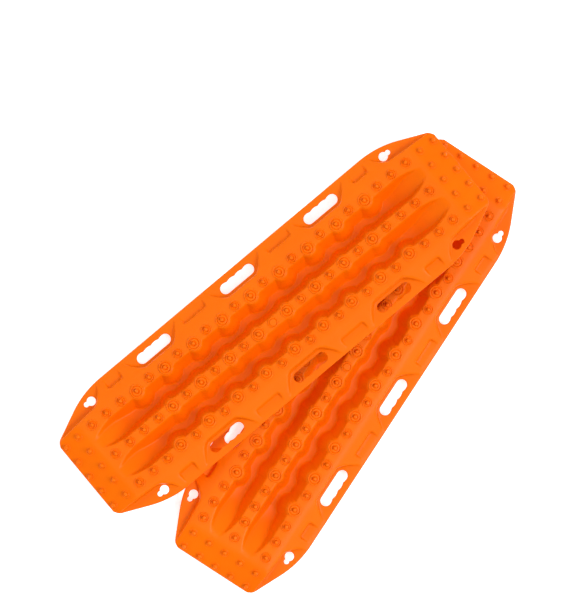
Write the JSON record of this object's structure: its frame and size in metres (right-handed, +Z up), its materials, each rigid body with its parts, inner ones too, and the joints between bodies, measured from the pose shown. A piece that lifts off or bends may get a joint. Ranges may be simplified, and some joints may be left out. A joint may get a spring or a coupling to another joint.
{
  "type": "tyre traction board pair",
  "caption": "Fanned pair of one-piece moulded nylon traction boards with tyre-gripping teeth, hand slots and keyholes, one board leaning on the other.",
  "frame": {"origin": "middle of the pair's bounding box, on the ground under the lower board", "axes": "+X along the lower board's length, +Y across it towards the board that leans on it, +Z up"},
  "size_m": [1.1614, 0.6458, 0.1541],
  "materials": {
    "orange_nylon": "satin moulded"
  },
  "bodies": {
    "lower_board": {"lower_board": "orange_nylon", "lower_left_teeth": "orange_nylon", "lower_centre_teeth": "orange_nylon", "lower_right_teeth": "orange_nylon", "lower_front_teeth": "orange_nylon", "lower_rear_teeth": "orange_nylon"},
    "upper_board": {"upper_board": "orange_nylon", "upper_left_teeth": "orange_nylon", "upper_centre_teeth": "orange_nylon", "upper_right_teeth": "orange_nylon", "upper_front_teeth": "orange_nylon", "upper_rear_teeth": "orange_nylon"}
  },
  "joints": [
    {"name": "upper_board_lift", "type": "slide", "parent": "lower_board", "child": "upper_board", "axis": [0, 0, 1], "range_m": [0, 0.3]}
  ]
}
